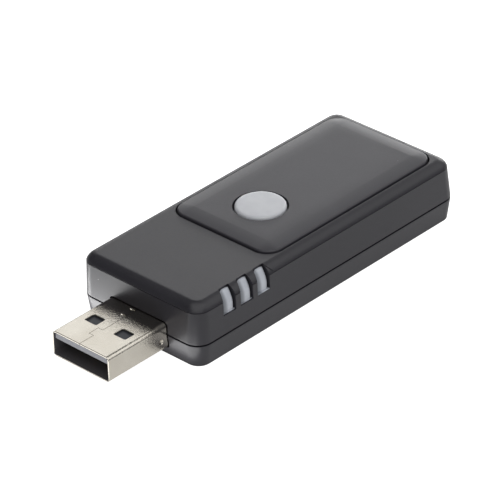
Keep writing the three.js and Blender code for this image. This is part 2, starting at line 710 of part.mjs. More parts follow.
// A moulded package with a row of leads on two or four of its sides.
function chip({ x, y, size, height, perSide, pitch, sides = 2, reach = 0.9 }) {
  const [width, length] = size;
  const lift = 0.1;
  const body = block([-width / 2, width / 2], [-length / 2, length / 2], [lift, height]);
  const leads = [];
  for (let side = 0; side < sides; side += 1) {
    const turn = sides === 4 ? (side * Math.PI) / 2 : side * Math.PI;
    const edge = sides === 4 && side % 2 === 1 ? length / 2 : width / 2;
    for (let i = 0; i < perSide; i += 1) {
      const lead = gullWing(reach, height * 0.45, pitch * 0.45);
      lead.translate(edge, (i - (perSide - 1) / 2) * pitch, 0);
      lead.rotateZ(turn);
      leads.push(solid(lead));
    }
  }
  return joined([body, ...leads]).translate([x, y, ON_BOARD]);
}

// A two-ended part such as a capacitor or resistor, with its end caps a little proud of the body.
function twoEnded({ x, y, length, width, height, turned90 = false }) {
  const cap = length * 0.2;
  const proud = 0.03;
  const halfLength = length / 2;
  const halfWidth = width / 2;
  const bodyX = [proud - halfLength, halfLength - proud];
  const body = block(bodyX, [proud - halfWidth, halfWidth - proud], [proud, height]);
  const ends = [-1, 1].map((side) => block(
    onSide(side, halfLength - cap, halfLength),
    [-halfWidth, halfWidth],
    [0, height + proud],
  ));
  return joined([body, ...ends]).rotate([0, 0, turned90 ? 90 : 0]).translate([x, y, ON_BOARD]);
}

function crystal(x, y) {
  const tray = block([x - 1.6, x + 1.6], [y - 1.25, y + 1.25], [ON_BOARD, ON_BOARD + 0.5]);
  const lid = block([x - 1.35, x + 1.35], [y - 1.0, y + 1.0], [ON_BOARD + 0.45, ON_BOARD + 0.8]);
  return joined([tray, lid]);
}

addPart('circuit_board', circuitBoard(), 'board');
const microcontroller = { x: 0, y: 16.5, size: [7, 7], height: 1.5, perSide: 8, pitch: 0.8, sides: 4 };
const levelShifter = { x: -5.6, y: 23.8, size: [4.4, 5], height: 1.1, perSide: 7, pitch: 0.65 };
const smallOutline = { size: [1.6, 2.9], height: 1.2, perSide: 3, pitch: 0.95, reach: 0.6 };
const regulator = { x: -6.6, y: -8.2, ...smallOutline };
const surgeArray = { x: 0, y: -10.8, ...smallOutline };
addPart('microcontroller', chip(microcontroller), 'epoxy');
addPart('level_shifter', chip(levelShifter), 'epoxy');
addPart('voltage_regulator', chip(regulator), 'epoxy');
addPart('usb_surge_array', chip(surgeArray), 'epoxy');
addPart('crystal', crystal(7.4, 14.6), 'tin');
const fuse = { x: 4.6, y: -11.6, length: 3.2, width: 1.6, height: 0.8, turned90: true };
addPart('usb_fuse', twoEnded(fuse), 'ceramic');

const capacitorPlaces = [[-3.6, -8.2], [-9.0, -8.2], [7.4, 11.6], [5.9, 20.6], [-1.2, 23.4]];
capacitorPlaces.forEach(([x, y], i) => {
  const capacitor = { x, y, length: 1.6, width: 0.8, height: 0.8, turned90: true };
  addPart(`capacitor_${i + 1}`, twoEnded(capacitor), 'ceramic');
});
const resistorPlaces = [...WINDOW_Y.map((y) => [7.2, y]), [-6.6, 3.9]];
resistorPlaces.forEach(([x, y], i) => {
  addPart(`resistor_${i + 1}`, twoEnded({ x, y, length: 1.6, width: 0.8, height: 0.45 }), 'epoxy');
});

export default programmer;
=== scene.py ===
"""A pocket programmer for microcontrollers: the looks of its case, plug, button, light windows and header.

Lengths are in millimetres and become metres by MM where they reach Blender. +Z is up through the button,
+Y runs from the plug towards the target header, and the origin is on the underside.
"""

import json
import math
from contextlib import contextmanager

import bmesh
import bpy
from mathutils import Matrix, Vector


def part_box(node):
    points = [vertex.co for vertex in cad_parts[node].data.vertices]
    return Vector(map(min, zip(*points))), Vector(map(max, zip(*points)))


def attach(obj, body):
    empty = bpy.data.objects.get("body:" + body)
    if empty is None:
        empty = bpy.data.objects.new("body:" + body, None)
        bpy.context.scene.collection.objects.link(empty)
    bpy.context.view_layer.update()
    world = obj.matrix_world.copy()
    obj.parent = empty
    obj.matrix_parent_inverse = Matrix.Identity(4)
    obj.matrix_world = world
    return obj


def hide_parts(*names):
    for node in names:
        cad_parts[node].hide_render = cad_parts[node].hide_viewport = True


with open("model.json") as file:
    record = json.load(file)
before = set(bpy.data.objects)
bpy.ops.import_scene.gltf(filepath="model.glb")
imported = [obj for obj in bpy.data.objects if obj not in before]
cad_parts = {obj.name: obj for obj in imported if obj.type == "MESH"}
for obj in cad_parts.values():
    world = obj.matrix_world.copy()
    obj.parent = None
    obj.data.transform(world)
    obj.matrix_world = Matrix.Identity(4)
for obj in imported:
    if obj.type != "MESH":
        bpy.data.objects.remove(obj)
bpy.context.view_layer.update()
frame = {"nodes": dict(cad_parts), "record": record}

MM = 0.001
UP = Vector((0, 0, 1))
SIDES = (-1, 1)

# Case
PARTING_GAP = 0.3
FRONT_CORNER, REAR_CORNER = 2.65, 2.5
WALL_DRAFT, WALL_TOP_Z, TOP_INSET = 0.15, 9.73, 1.74
REAR_DRAW, REAR_DRAW_Z = 0.6, 9.43
BEVEL_HALF_TURN = math.radians(27)
CREASE_DEPTH, CREASE_OUTSET, CREASE_Z = 0.15, 0.5, (9.6, 9.71)
SWEEP_CENTRE, SWEEP_RADIUS, SWEEP_LINE, SWEEP_DEPTH, SWEEP_REACH = (10.92, -5.95), 1.62, 0.12, 0.2, 3
BASE_DRAFT, BASE_EDGE = 0.5, 0.15
WALL, FLOOR, CEILING_Z = 1.6, 1.2, 9.0
LIP_OUTER, LIP_INNER, LIP_TOP_Z = 1.2, 1.9, 5.0
RABBET_DEPTH, RABBET_TOP_Z = 0.9, 5.3
BOSS_X, BOSS_Y, BOSS_RADIUS, BOSS_BORE = 8.6, (-20.0, 30.6), 1.55, 1.05
PIN_RADIUS, PIN_TOP_Z, PIN_GAP = 0.8, 5.6, 0.3
BOARD_GAP, HEADER_GAP = 0.05, 0.3

# How far a cutter reaches past a piece, how far joined pieces reach into each other, the height of the block
# that a form is carried on from, the last step in of a flat face, and how near counts as in place
BEYOND, OVERLAP, START_HEIGHT, FLAT_STEP, NEAR = 2.0, 0.05, 0.2, 0.3, 0.01

# Sides of the round forms: those in full view, and those that are mostly hidden
FINE_SIDES, HOLE_SIDES, FOOT_SIDES = 96, 64, 48

# Cover panel and button
PANEL_CORNER, PANEL_POINT, PANEL_GAP = 2.8, 2.78, 0.3
PANEL_MERGE = 0.2
PANEL_BASE_Z, PANEL_SIDE_Z, PANEL_EDGE = 10.18, 11.08, 0.3
PANEL_CROWN_RUN, PANEL_HALF_TURN = 4.6, math.radians(5.5)
POCKET_FLOOR_Z = 10.13
PEG_X, PEG_Y, PEG_RADIUS, PEG_HOLE_RADIUS = 8.4, (-2.6, 26.6), 0.9, 1.2
BUTTON_Y, BUTTON_RADIUS, BUTTON_HOLE_RADIUS = 3.9, 4.1, 4.45
BUTTON_SIDE_Z, BUTTON_FILLET = 11.55, 0.5
FLANGE_TOP_Z, FLANGE_BASE_Z, FLANGE_HOLE_RADIUS = 9.85, 9.2, 5.6
BUTTON_POST_RADIUS, DOME_RINGS = 1.6, 12

# Light windows
WINDOW_Y, WINDOW_WIDTH, WINDOW_FLARE = (-16.25, -12.45, -8.72), 2.05, 0.42
WINDOW_INNER_X, WINDOW_SILL_Z = 10.85, 7.25
PIPE_WIDTH, PIPE_BACK_X, PIPE_FACE_X, PIPE_CREST_X = 1.98, 10.9, 12.25, 11.3
PIPE_BORDER_X, PIPE_BASE_Z, PIPE_BEND_Z, PIPE_BEND_POWER = 11.2, 7.29, 8.3, 1.9
PIPE_CROWN, PIPE_END = 0.6, 0.7
LEDGE_X, LEDGE_Z = (12.35, 12.35, 12.55), (7.27, 7.36)
BAR_OUTER_X, BAR_Z = 10.5, (7.6, 8.7)
STEM_OUTER_X, STEM_TOP_Z = 10.48, 8.6
ARM_X, ARM_HALF_WIDTH, ARM_Z = (10.0, 11.2), 0.7, (7.65, 8.65)

# Plug
PLUG_SHEET, PLUG_CORNER, PLUG_CLEARANCE = 0.3, 0.75, 0.15
PLUG_LATCH_X, PLUG_LATCH_Y, PLUG_LATCH_WIDTH, PLUG_LATCH_CORNER = 3.07, (-30.85, -28.82), 2.45, 0.25
PLUG_HALF_WIDTH = 6.0
SEAM_X, SEAM_TAB_X, SEAM_TAB_Y, SEAM_WIDTH = -0.12, -1.06, (-33.1, -31.15), 0.08
MARK_X, MARK_Y, MARK_RISE, MARK_RADII = -0.72, (-26.2, -24.2), 0.05, (0.5, 0.22, 0.24)
DIMPLE_OUT, DIMPLE_Y, DIMPLE_Z, DIMPLE_RADIUS = 0.3, -24.96, 3.19, 0.55
EAR_REACH, EAR_Z = 1.4, (4.05, 4.35)
NOSE_DEPTH = 0.15


# Modelling with Blender's own tools

def extent(node):
    """The low and the high corner of a CAD node's box, in millimetres."""
    return [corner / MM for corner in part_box(node)]


def past(span):
    """The span carried 1 mm past both its ends, for a cutter that has to go right through."""
    return (span[0] - 1, span[1] + 1)


def activate(piece):
    bpy.ops.object.select_all(action="DESELECT")
    piece.select_set(True)
    bpy.context.view_layer.objects.active = piece


@contextmanager
def editing(piece):
    activate(piece)
    bpy.ops.object.mode_set(mode="EDIT")
    yield piece
    bpy.ops.object.mode_set(mode="OBJECT")


def select(piece, kind, test):
    """Selects the faces, edges or vertices that pass the test, and nothing else, in edit mode."""
    bpy.ops.mesh.select_mode(type=kind)
    bpy.ops.mesh.select_all(action="DESELECT")
    mesh = bmesh.from_edit_mesh(piece.data)
    for item in {"VERT": mesh.verts, "EDGE": mesh.edges, "FACE": mesh.faces}[kind]:
        if test(item):
            item.select_set(True)
    mesh.select_flush_mode()
    bmesh.update_edit_mesh(piece.data)


def middle(edge):
    return (edge.verts[0].co + edge.verts[1].co) / 2


def runs_along(edge, axis):
    run = edge.verts[1].co - edge.verts[0].co
    return abs(run[axis]) > 0.99 * run.length


def runs_level(edge):
    """Whether the edge keeps its place along Y."""
    return abs(edge.verts[1].co.y - edge.verts[0].co.y) < 1e-7


def placed(name):
    """Names the primitive that was just added and puts its place into its mesh."""
    piece = bpy.context.object
    piece.name = name
    bpy.ops.object.transform_apply(location=True, rotation=True, scale=True)
    return piece


def block(name, xs, ys, zs):
    spans = (xs, ys, zs)
    centre = [sum(span) / 2 * MM for span in spans]
    size = [(span[1] - span[0]) * MM for span in spans]
    bpy.ops.object.select_all(action="DESELECT")
    bpy.ops.mesh.primitive_cube_add(size=1, location=centre, scale=size)
    return placed(name)


def post(name, x, y, zs, radius, vertices=40):
    centre = (x * MM, y * MM, sum(zs) / 2 * MM)
    bpy.ops.object.select_all(action="DESELECT")
    bpy.ops.mesh.primitive_cylinder_add(
        vertices=vertices, radius=radius * MM, depth=(zs[1] - zs[0]) * MM, location=centre)
    return placed(name)


def ball(name, centre, radii):
    bpy.ops.object.select_all(action="DESELECT")
    bpy.ops.mesh.primitive_uv_sphere_add(segments=24, ring_count=16, location=[c * MM for c in centre],
                                         scale=[r * MM for r in radii])
    return placed(name)


def rounded_block(name, xs, ys, zs, corners, axis=2, segments=10):
    """A block whose edges along one axis are rounded. corners has a radius for the low and the high end in
    Y, or in Z where the edges run along Y."""
    piece = block(name, xs, ys, zs)
    split = 1 if axis == 2 else 2
    half = sum((ys, zs)[split - 1]) / 2 * MM
    with editing(piece):
        for corner, is_high in zip(corners, (False, True)):
            def fits(edge):
                return runs_along(edge, axis) and (middle(edge)[split] > half) == is_high
            select(piece, "EDGE", fits)
            bpy.ops.mesh.bevel(offset=corner * MM, segments=segments, affect="EDGES")
    return piece


def case_block(name, inset, zs, segments=10):
    """A block with the case's outline, drawn in all round."""
    low, high = extent("lower_housing")
    corners = (FRONT_CORNER - inset, REAR_CORNER - inset)
    xs, ys = (low.x + inset, high.x - inset), (low.y + inset, high.y - inset)
    return rounded_block(name, xs, ys, zs, corners, segments=segments)


def carry_on(piece, direction, levels, start):
    """Carries the piece's end face on through levels of (inset, height) in millimetres. start is the
    (inset, height) that the face has."""
    with editing(piece):
        ends = [face.calc_center_median().dot(direction) for face in bmesh.from_edit_mesh(piece.data).faces]
        limit = max(ends) - 1e-6
        select(piece, "FACE", lambda face: face.calc_center_median().dot(direction) > limit)
        for inset, height in levels:
            step = max((inset - start[0]) * MM, 1e-7)
            bpy.ops.mesh.inset(thickness=step, depth=(height - start[1]) * MM)
            start = (inset, height)


def arc_levels(low, high, half_turn, insets):
    """Levels at the given insets on an arc that leaves the low one steeply and flattens out towards the
    high one."""
    run, rise = high[0] - low[0], high[1] - low[1]
    radius = math.hypot(run, rise) / (2 * math.sin(half_turn))
    steep = math.atan2(rise, run) + half_turn
    slopes = [math.asin(math.sin(steep) - (inset - low[0]) / radius) for inset in insets]
    return [(inset, low[1] + radius * (math.cos(slope) - math.cos(steep)))
            for inset, slope in zip(insets, slopes)]


def spread(start, end, count, power=1.0):
    """Values from start to end, closer together near the start where the power is over 1."""
    return [start + (end - start) * (i / count) ** power for i in range(count + 1)]


def round_levels(start, radius, count, end=math.pi / 2):
    """Levels along a round edge that begins upright."""
    turns = [end * (i + 1) / count for i in range(count)]
    return [(start[0] + radius * (1 - math.cos(turn)), start[1] + radius * math.sin(turn)) for turn in turns]


def apply_modifier(piece, kind, **settings):
    modifier = piece.modifiers.new(kind.lower(), kind)
    for name, value in settings.items():
        setattr(modifier, name, value)
    activate(piece)
    bpy.ops.object.modifier_apply(modifier=modifier.name)


def combine(piece, tools, operation):
    for tool in tools:
        apply_modifier(piece, "BOOLEAN", object=tool, operation=operation, solver="EXACT")
        bpy.data.objects.remove(tool)
    return piece


def cut(piece, *tools):
    return combine(piece, tools, "DIFFERENCE")


def join(piece, *more):
    return combine(piece, more, "UNION")


def soften(piece, width, angle=40, segments=2):
    """Breaks the piece's sharp edges, as a mould or a press leaves them."""
    apply_modifier(piece, "BEVEL", width=width * MM, segments=segments, limit_method="ANGLE",
                   angle_limit=math.radians(angle), use_clamp_overlap=True, miter_outer="MITER_ARC")


def dress(piece, body, material, nodes=(), smooth_angle=18):
    """Gives a finished piece its smoothing and material, and puts it on its body."""
    piece.data.materials.clear()
    piece.data.materials.append(material)
    activate(piece)
    bpy.ops.object.shade_smooth_by_angle(angle=math.radians(smooth_angle))
    apply_modifier(piece, "WEIGHTED_NORMAL", mode="FACE_AREA", keep_sharp=True)
    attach(piece, body)
    if nodes:
        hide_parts(*nodes)
    return piece


# Materials

# The Mix node's colour sockets share their names with its other ones, so they go by number.
MIX_FACTOR, MIX_LOW, MIX_HIGH, MIX_RESULT = 0, 6, 7, 2


def srgb(code):
    """An sRGB hex colour as the linear values that a shader takes."""
    shares = [(code >> shift & 255) / 255 for shift in (16, 8, 0)]
    linear = [s / 12.92 if s <= 0.04045 else ((s + 0.055) / 1.055) ** 2.4 for s in shares]
    return (*linear, 1.0)


def per(length):
    """The texture scale whose pattern repeats about every given length in millimetres."""
    return 1 / (length * MM)


def add(tree, kind, inputs=None, stops=(), **settings):
    """Adds a shader node with its settings, and sets or links its inputs. A node given as an input links its
    first output. The stops of a colour ramp are positions and sRGB hex colours."""
    made = tree.nodes.new("ShaderNode" + kind)
    for name, value in settings.items():
        setattr(made, name, value)
    for index, (position, code) in enumerate(stops):
        made.color_ramp.elements[index].position = position
        made.color_ramp.elements[index].color = srgb(code)
    for key, value in (inputs or {}).items():
        if isinstance(value, bpy.types.Node):
            tree.links.new(value.outputs[0], made.inputs[key])
        elif isinstance(value, bpy.types.NodeSocket):
            tree.links.new(value, made.inputs[key])
        else:
            made.inputs[key].default_value = value
    return made


def new_material(name):
    """An empty node material, with the coordinates of the piece it is on."""
    material = bpy.data.materials.new(name)
    material.use_nodes = True
    tree = material.node_tree
    tree.nodes.clear()
    place = add(tree, "TexCoord").outputs["Object"]
    return material, tree, place


def surface(tree, inputs):
    """Ends a material with its surface."""
    add(tree, "OutputMaterial", {"Surface": add(tree, "BsdfPrincipled", inputs)})


def inside_box(tree, place, centre, half):
    """1 within half (in millimetres) of the centre on each axis, and 0 outside. A None half is endless."""
    parts = add(tree, "SeparateXYZ", {"Vector": place})
    farthest = 0.0
    for axis, c, h in zip("XYZ", centre, half):
        if h is not None:
            offset = add(tree, "Math", {0: parts.outputs[axis], 1: c * MM}, operation="SUBTRACT")
            away = add(tree, "Math", {0: offset}, operation="ABSOLUTE")
            share = add(tree, "Math", {0: away, 1: h * MM}, operation="DIVIDE")
            farthest = add(tree, "Math", {0: farthest, 1: share}, operation="MAXIMUM")
    return add(tree, "Math", {0: farthest, 1: 1.0}, operation="LESS_THAN")


def moulded_plastic(name, dark, light, roughness, grain, grain_depth):
    """Injection-moulded ABS with a spark-eroded skin: a fine satin grain that scatters highlights, slight
    mottling from the flow of the melt, and a little dust. The real grain is about 0.05 mm across, and it is
    drawn coarser, so that it shows."""
    material, tree, place = new_material(name)
    flow = add(tree, "TexNoise", {"Vector": place, "Scale": per(9.0), "Detail": 3.0})
    skin = add(tree, "TexNoise", {"Vector": place, "Scale": per(grain), "Detail": 4.0, "Roughness": 0.7})
    colour = add(tree, "ValToRGB", {"Fac": flow}, [(0.3, dark), (0.7, light)])
    dust = add(tree, "TexVoronoi", {"Vector": place, "Scale": per(5.0), "Randomness": 1.0})
    speck = add(tree, "MapRange", {"Value": dust, "From Min": 0.012, "From Max": 0.022, "To Min": 0.5,
                                   "To Max": 0.0})
    dusted = add(tree, "Mix", {MIX_FACTOR: speck, MIX_LOW: colour, MIX_HIGH: srgb(0x9A9A9E)},
                 data_type="RGBA")
    gloss = add(tree, "MapRange", {"Value": skin, "From Min": 0.3, "From Max": 0.7,
                                   "To Min": roughness - 0.05, "To Max": roughness + 0.05})
    bump = add(tree, "Bump", {"Height": skin, "Strength": 0.5, "Distance": grain_depth * MM})
    surface(tree, {"Base Color": dusted.outputs[MIX_RESULT], "Roughness": gloss, "IOR": 1.53,
                   "Normal": bump})
    return material


def milky_plastic(name, tint, core, roughness, depth):
    """Milky polycarbonate: light enters, scatters for a millimetre or two and comes out soft and even."""
    material, tree, place = new_material(name)
    cloud = add(tree, "TexNoise", {"Vector": place, "Scale": per(2.5), "Detail": 2.0})
    colour = add(tree, "ValToRGB", {"Fac": cloud}, [(0.3, core), (0.7, tint)])
    skin = add(tree, "TexNoise", {"Vector": place, "Scale": per(0.35), "Detail": 3.0})
    bump = add(tree, "Bump", {"Height": skin, "Strength": 0.3, "Distance": 0.004 * MM})
    surface(tree, {"Base Color": colour, "Roughness": roughness, "IOR": 1.58, "Subsurface Weight": 0.6,
                   "Subsurface Radius": (1.0, 1.0, 1.05), "Subsurface Scale": depth * MM, "Normal": bump})
    return material


def light_pipe_acrylic():
    """Milky acrylic: soft and even in the middle of each window, with painted shade that greys it towards
    the black walls at the sides of each window."""
    material, tree, place = new_material("milky light-pipe acrylic")
    cloud = add(tree, "TexNoise", {"Vector": place, "Scale": per(1.2), "Detail": 2.0})
    core = add(tree, "ValToRGB", {"Fac": cloud}, [(0.3, 0xBFC3CB), (0.7, 0xC7CBD3)])
    along = add(tree, "SeparateXYZ", {"Vector": place}).outputs["Y"]
    nearest = 1.0
    for y in WINDOW_Y:
        offset = add(tree, "Math", {0: along, 1: y * MM}, operation="SUBTRACT")
        away = add(tree, "Math", {0: offset}, operation="ABSOLUTE")
        nearest = add(tree, "Math", {0: away, 1: nearest}, operation="MINIMUM")
    # Painted shade: near the sides of each window the pipe is mixed towards grey 0x8C9097.
    painted_edge_shade = add(tree, "MapRange", {"Value": nearest, "From Min": 0.3 * MM, "From Max": PIPE_WIDTH / 2 * MM},
                 interpolation_type="SMOOTHSTEP")
    colour = add(tree, "Mix", {MIX_FACTOR: painted_edge_shade, MIX_LOW: core, MIX_HIGH: srgb(0x8C9097)},
                 data_type="RGBA")
    skin = add(tree, "TexNoise", {"Vector": place, "Scale": per(0.35), "Detail": 3.0})
    bump = add(tree, "Bump", {"Height": skin, "Strength": 0.3, "Distance": 0.004 * MM})
    surface(tree, {"Base Color": colour.outputs[MIX_RESULT], "Roughness": 0.35, "IOR": 1.49,
                   "Subsurface Weight": 0.1, "Subsurface Radius": (1.0, 1.0, 1.05),
                   "Subsurface Scale": 0.3 * MM, "Normal": bump})
    return material


def nickel_plate():
    """Bright nickel over rolled steel sheet: a warm mirror, broken up by a grain that shows where dark
    reflections begin, with a faint haze of handling. The real grain is under 0.1 mm, and it is drawn
    coarser, so that it shows. Inside the plug the sheet is painted dark as painted shade, and is made
    duller."""
    material, tree, place = new_material("nickel-plated pressed steel")
    rolled = add(tree, "Mapping", {"Vector": place, "Scale": (1.0, 0.12, 1.0)})
    streaks = add(tree, "TexNoise", {"Vector": rolled, "Scale": per(0.25), "Detail": 3.0})
    grain = add(tree, "TexNoise", {"Vector": place, "Scale": per(0.4), "Detail": 4.0, "Roughness": 0.7})
    haze = add(tree, "TexNoise", {"Vector": place, "Scale": per(4.0), "Detail": 4.0})
    plated = add(tree, "ValToRGB", {"Fac": haze}, [(0.3, 0xD6D0C4), (0.7, 0xDFDACF)])
    # Painted shade: inside the plug the sheet is painted dark grey 0x5A585B, and made rougher and less
    # metallic.
    low, high = extent("usb_plug_shell")
    half = (PLUG_HALF_WIDTH - PLUG_SHEET + OVERLAP, None, (high.z - low.z) / 2 - PLUG_SHEET + OVERLAP)
    painted_inside_shade = inside_box(tree, place, (0, 0, (low.z + high.z) / 2), half)
    colour = add(tree, "Mix", {MIX_FACTOR: painted_inside_shade, MIX_LOW: plated, MIX_HIGH: srgb(0x5A585B)},
                 data_type="RGBA")
    polish = add(tree, "MapRange", {"Value": streaks, "From Min": 0.3, "From Max": 0.7, "To Min": 0.13,
                                    "To Max": 0.19})
    gloss = add(tree, "MapRange", {"Value": painted_inside_shade, "To Min": polish, "To Max": 0.5})
    metal = add(tree, "MapRange", {"Value": painted_inside_shade, "To Min": 1.0, "To Max": 0.3})
    bump = add(tree, "Bump", {"Height": grain, "Strength": 0.8, "Distance": 0.045 * MM})
    surface(tree, {"Base Color": colour.outputs[MIX_RESULT], "Metallic": metal, "Roughness": gloss,
                   "Normal": bump})
    return material


def plated_metal(name, dark, light, roughness):
    """Thin soft plating on stamped metal: even colour, with fine wiping marks and dull patches."""
    material, tree, place = new_material(name)
    patches = add(tree, "TexNoise", {"Vector": place, "Scale": per(0.9), "Detail": 4.0})
    colour = add(tree, "ValToRGB", {"Fac": patches}, [(0.3, dark), (0.7, light)])
    gloss = add(tree, "MapRange", {"Value": patches, "From Min": 0.3, "From Max": 0.7,
                                   "To Min": roughness - 0.08, "To Max": roughness + 0.08})
    bump = add(tree, "Bump", {"Height": patches, "Strength": 0.2, "Distance": 0.01 * MM})
    surface(tree, {"Base Color": colour, "Metallic": 1.0, "Roughness": gloss, "Normal": bump})
    return material


def tongue_polyester():
    """Glass-filled polyester: paler on the nose as painted light, and dark blue-grey behind it as painted
    shade.
    """
    material, tree, place = new_material("blue-grey glass-filled polyester")
    fibre = add(tree, "TexNoise", {"Vector": place, "Scale": per(0.5), "Detail": 4.0})
    # Painted light and shade: the nose gets the lit tone, and the rest gets the shaded tone of the same
    # plastic.
    shaded_tone = add(tree, "ValToRGB", {"Fac": fibre}, [(0.3, 0x36383D), (0.7, 0x3E4046)])
    lit_tone = add(tree, "ValToRGB", {"Fac": fibre}, [(0.3, 0x8A8B92), (0.7, 0x94959C)])
    tip = extent("usb_plug_insulator")[0]
    lit_nose = inside_box(tree, place, (0, tip.y, 0), (None, NOSE_DEPTH, None))
    colour = add(tree, "Mix", {MIX_FACTOR: lit_nose, MIX_LOW: shaded_tone, MIX_HIGH: lit_tone}, data_type="RGBA")
    bump = add(tree, "Bump", {"Height": fibre, "Strength": 0.3, "Distance": 0.01 * MM})
    surface(tree, {"Base Color": colour.outputs[MIX_RESULT], "Roughness": 0.45, "IOR": 1.57, "Normal": bump})
    return material


def speckled(name, dark, light, size, roughness, ior=1.5):
    """A dull moulded or fired body whose filler shows as fine specks."""
    material, tree, place = new_material(name)
    filler = add(tree, "TexNoise", {"Vector": place, "Scale": per(size), "Detail": 5.0, "Roughness": 0.65})
    colour = add(tree, "ValToRGB", {"Fac": filler}, [(0.35, dark), (0.65, light)])
    bump = add(tree, "Bump", {"Height": filler, "Strength": 0.4, "Distance": 0.01 * MM})
    surface(tree, {"Base Color": colour, "Roughness": roughness, "IOR": ior, "Normal": bump})
    return material


housing_abs = moulded_plastic("spark-eroded charcoal ABS", 0x27262C, 0x2C2B31, 0.36, 0.32, 0.006)
panel_abs = moulded_plastic("satin charcoal ABS", 0x36353B, 0x3B3A40, 0.36, 0.32, 0.005)
button_plastic = milky_plastic("milky polycarbonate", 0xD4D6DA, 0xCCCED3, 0.38, 1.2)
pipe_acrylic = light_pipe_acrylic()
nickel = nickel_plate()
insulator_lcp = speckled("moulded black liquid-crystal polymer", 0x2A2A2D, 0x38383C, 0.5, 0.42, 1.6)
tongue_pbt = tongue_polyester()
gold = plated_metal("gold flash over nickel", 0xC9A04C, 0xE2BD6A, 0.28)
tin = plated_metal("tin-plated sheet", 0xB4B6B8, 0xCFD0D0, 0.35)
laminate = speckled("green solder mask on glass laminate", 0x14482B, 0x1D5C38, 0.8, 0.35)
epoxy = speckled("moulded black epoxy", 0x17181A, 0x242528, 0.25, 0.55)
ceramic = speckled("fired barium titanate ceramic", 0x9A7F58, 0xB79A6E, 0.3, 0.5)
lens = milky_plastic("clear silicone lens over a pale base", 0xEDEBD2, 0xDDDAB8, 0.2, 0.5)


# Case

def plug_opening():
    """A cutter for the slot that the plug's shell stands in."""
    low, high = extent("usb_plug_shell")
    front = extent("lower_housing")[0].y
    half = PLUG_HALF_WIDTH + PLUG_CLEARANCE
    zs = (low.z - PLUG_CLEARANCE, high.z + PLUG_CLEARANCE)
    ys = (front - BEYOND, front + LIP_INNER + BEYOND / 2)
    return rounded_block("opening", (-half, half), ys, zs, (PLUG_CORNER, PLUG_CORNER), axis=1, segments=5)


def header_opening():
    """A cutter for the slot in the rear wall that the target header stands in."""
    low, high = extent("target_header_body")
    rear = extent("lower_housing")[1].y
    xs, zs = (low.x - HEADER_GAP, high.x + HEADER_GAP), (low.z - HEADER_GAP, high.z + HEADER_GAP)
    return block("opening", xs, (rear - LIP_INNER - OVERLAP, rear + BEYOND), zs)


def bosses(zs, radius):
    """Four upright posts where the two shells meet inside the case."""
    return [post("boss", side * BOSS_X, y, zs, radius) for side in SIDES for y in BOSS_Y]


def pegs(zs, radius):
    """Four upright posts under the corners of the cover panel."""
    return [post("peg", side * PEG_X, y, zs, radius) for side in SIDES for y in PEG_Y]


def draw_rear(piece, above):
    """Leans the rear end in, from the height above upwards."""
    with editing(piece):
        select(piece, "VERT", lambda vertex: vertex.co.y > 0 and vertex.co.z > above * MM)
        bpy.ops.transform.translate(value=(0, -REAR_DRAW * MM, 0))
    return piece


def upper_form(name, inset=0.0):
    """The upper shell's outer form, drawn in all round by the inset."""
    low, high = extent("upper_housing")
    start = (inset, low.z + START_HEIGHT)
    piece = case_block(name, inset, (low.z, start[1]))
    insets = spread(WALL_DRAFT + inset, TOP_INSET + inset, count=14, power=1.4)
    ends = (WALL_DRAFT + inset, WALL_TOP_Z - inset), (TOP_INSET + inset, high.z - inset)
    flat = (TOP_INSET + inset + FLAT_STEP, high.z - inset)
    carry_on(piece, UP, [*arc_levels(*ends, BEVEL_HALF_TURN, insets), flat], start)
    return draw_rear(piece, REAR_DRAW_Z)


def crease_ring():
    """A cutter for the fine line where the wall meets the bevel."""
    inner = draw_rear(case_block("inner", WALL_DRAFT + CREASE_DEPTH, past(CREASE_Z)), 0)
    return cut(case_block("crease", -CREASE_OUTSET, CREASE_Z), inner)


def sweep_line():
    """A cutter for the curved line that ends the row of windows, no deeper than a scratch."""
    x, y = SWEEP_CENTRE
    zs = (WALL_TOP_Z - OVERLAP, WALL_TOP_Z + BEYOND)
    core = post("core", x, y, past(zs), SWEEP_RADIUS, FINE_SIDES)
    ring = cut(post("sweep", x, y, zs, SWEEP_RADIUS + SWEEP_LINE, FINE_SIDES), core)
    inboard = block("inboard", (x - SWEEP_REACH, x), (y - SWEEP_REACH, y + SWEEP_REACH), past(zs))
    behind = block("behind", (x - SWEEP_REACH, x + SWEEP_REACH), (y, y + SWEEP_REACH), past(zs))
    return cut(ring, inboard, behind, upper_form("under", SWEEP_DEPTH))


def flared_block(name, xs, y, width, zs):
    """A block at y whose front wall flares outwards, so that a light pipe in it shows its full width."""
    piece = block(name, xs, (y - width / 2, y + width / 2), zs)
    with editing(piece):
        select(piece, "VERT", lambda vertex: vertex.co.x > (xs[1] - NEAR) * MM and vertex.co.y < y * MM)
        bpy.ops.transform.translate(value=(0, -WINDOW_FLARE * (xs[1] - xs[0]) * MM, 0))
    return piece


def window_cutter(y):
    """A cutter for the window at y, open through the wall and the top edge."""
    high = extent("upper_housing")[1]
    zs = (WINDOW_SILL_Z, high.z + BEYOND)
    return flared_block("window", (WINDOW_INNER_X, high.x + BEYOND), y, WINDOW_WIDTH, zs)


